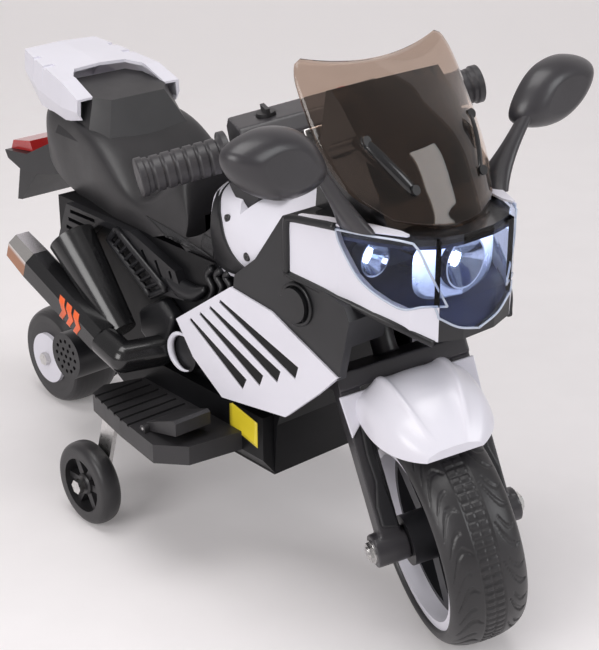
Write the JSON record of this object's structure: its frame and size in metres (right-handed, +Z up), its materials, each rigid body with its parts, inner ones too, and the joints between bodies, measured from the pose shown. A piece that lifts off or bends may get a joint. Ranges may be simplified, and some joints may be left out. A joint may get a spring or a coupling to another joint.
{
  "type": "ride_on_toy",
  "caption": "Child's white and black battery motorbike with smoked windscreen, turning fork and bars, geared rear wheel, side stabiliser wheels and a press pedal.",
  "frame": {"origin": "on the floor under the middle of the bike's overall box", "axes": "+X forward, the way the bike drives; +Y to the rider's left; +Z up"},
  "size_m": [0.8123, 0.437, 0.5362],
  "materials": {
    "black_plastic": "matte",
    "white_plastic": "gloss",
    "dark_grey_plastic": "satin",
    "tyre_black": "matte",
    "grip_rubber": "matte",
    "bright_steel": "satin",
    "black_steel": "satin",
    "lamp_chrome": "polished",
    "clear_lens": "clear",
    "smoke_screen": "smoked",
    "red_lens": "gloss",
    "lamp_light": "gloss",
    "bronze_tip": "gloss",
    "mirror_silver": "polished",
    "battery_case": "matte",
    "gear_nylon": "satin"
  },
  "bodies": {
    "chassis": {"hull_right": "black_plastic", "hull_left": "black_plastic", "head_tube": "black_plastic", "charging_socket": "black_plastic", "battery": "battery_case", "side_frames": "black_plastic", "seat": "dark_grey_plastic", "tail_cowl": "white_plastic", "rear_mudguard": "black_plastic", "tail_light": "red_lens", "tank_cover": "white_plastic", "fairing_right": "white_plastic", "fairing_left": "white_plastic", "headlamp_lenses": "clear_lens", "nose_cowl": "black_plastic", "headlamp_housing": "black_plastic", "headlamp_reflectors": "lamp_chrome", "headlamp_leds": "lamp_light", "windscreen": "smoke_screen", "windscreen_screws": "black_steel", "dash_cowl": "black_plastic", "mirror_left": "black_plastic", "mirror_right": "black_plastic", "mirror_glasses": "mirror_silver", "side_panel_left": "white_plastic", "side_panel_right": "white_plastic", "vent_inserts": "black_plastic", "inner_panels": "black_plastic", "panel_caps": "black_plastic", "footboard_left": "dark_grey_plastic", "footboard_right": "dark_grey_plastic", "pedal_pin": "bright_steel", "stabiliser_struts": "bright_steel", "stabiliser_axles": "bright_steel", "exhaust_silencers": "black_plastic", "exhaust_tip": "bronze_tip", "exhaust_pipe": "black_plastic", "rear_axle": "bright_steel", "gearbox_housing": "black_plastic", "motor": "bright_steel", "motor_cover": "black_plastic"},
    "steering": {"fork": "black_plastic", "front_axle": "bright_steel", "front_fender": "white_plastic", "handlebar": "bright_steel", "grips": "grip_rubber", "handlebar_box": "black_plastic"},
    "front_wheel": {"front_tyre": "tyre_black", "front_rim": "white_plastic", "front_hub": "black_plastic"},
    "rear_wheel": {"rear_tyre": "tyre_black", "rear_hub": "dark_grey_plastic", "rear_cap": "white_plastic"},
    "idler": {"idler_gear": "gear_nylon"},
    "pinion": {"motor_pinion": "bright_steel"},
    "stabiliser_left": {"stabiliser_wheel_left": "dark_grey_plastic"},
    "stabiliser_right": {"stabiliser_wheel_right": "dark_grey_plastic"},
    "pedal": {"foot_pedal": "dark_grey_plastic"},
    "horn": {"horn_button": "red_lens"},
    "key": {"key_switch": "dark_grey_plastic"}
  },
  "joints": [
    {"name": "steering_turn", "type": "hinge", "parent": "chassis", "child": "steering", "pos_m": [0.27197, 0, 0.09431], "axis": [-0.4147, 0, 0.91], "range_deg": [-7, 57]},
    {"name": "front_wheel_spin", "type": "hinge", "parent": "steering", "child": "front_wheel", "pos_m": [0.29919, -0.01395, 0.10672], "axis": [0.3846, 0.9063, 0.1753], "continuous": true},
    {"name": "rear_wheel_spin", "type": "hinge", "parent": "chassis", "child": "rear_wheel", "pos_m": [-0.345, 0, 0.0605], "axis": [0, 1, 0], "continuous": true},
    {"name": "idler_spin", "type": "hinge", "parent": "chassis", "child": "idler", "pos_m": [-0.29145, 0, 0.08789], "axis": [0, 1, 0], "continuous": true},
    {"name": "pinion_spin", "type": "hinge", "parent": "chassis", "child": "pinion", "pos_m": [-0.249, 0, 0.106], "axis": [0, 1, 0], "continuous": true},
    {"name": "stabiliser_left_spin", "type": "hinge", "parent": "chassis", "child": "stabiliser_left", "pos_m": [-0.08, 0.1535, 0.0455], "axis": [0, 1, 0], "continuous": true},
    {"name": "stabiliser_right_spin", "type": "hinge", "parent": "chassis", "child": "stabiliser_right", "pos_m": [-0.08, -0.1535, 0.0455], "axis": [0, 1, 0], "continuous": true},
    {"name": "pedal_press", "type": "hinge", "parent": "chassis", "child": "pedal", "pos_m": [0.031, -0.133, 0.154], "axis": [0, 1, 0], "range_deg": [0, 8], "stiffness_Nm_per_rad": 0.6},
    {"name": "horn_press", "type": "slide", "parent": "steering", "child": "horn", "axis": [0.0354, 0.1753, -0.9839], "range_m": [0, 0.003], "stiffness_N_per_m": 300},
    {"name": "key_turn", "type": "hinge", "parent": "steering", "child": "key", "pos_m": [0.0651, -0.02758, 0.45123], "axis": [-0.0354, -0.1753, 0.9839], "range_deg": [0, 90]}
  ],
  "couplings": [
    {"joint": "idler_spin", "follows": "rear_wheel_spin", "ratio": -3.2857},
    {"joint": "pinion_spin", "follows": "rear_wheel_spin", "ratio": 9.3095}
  ]
}
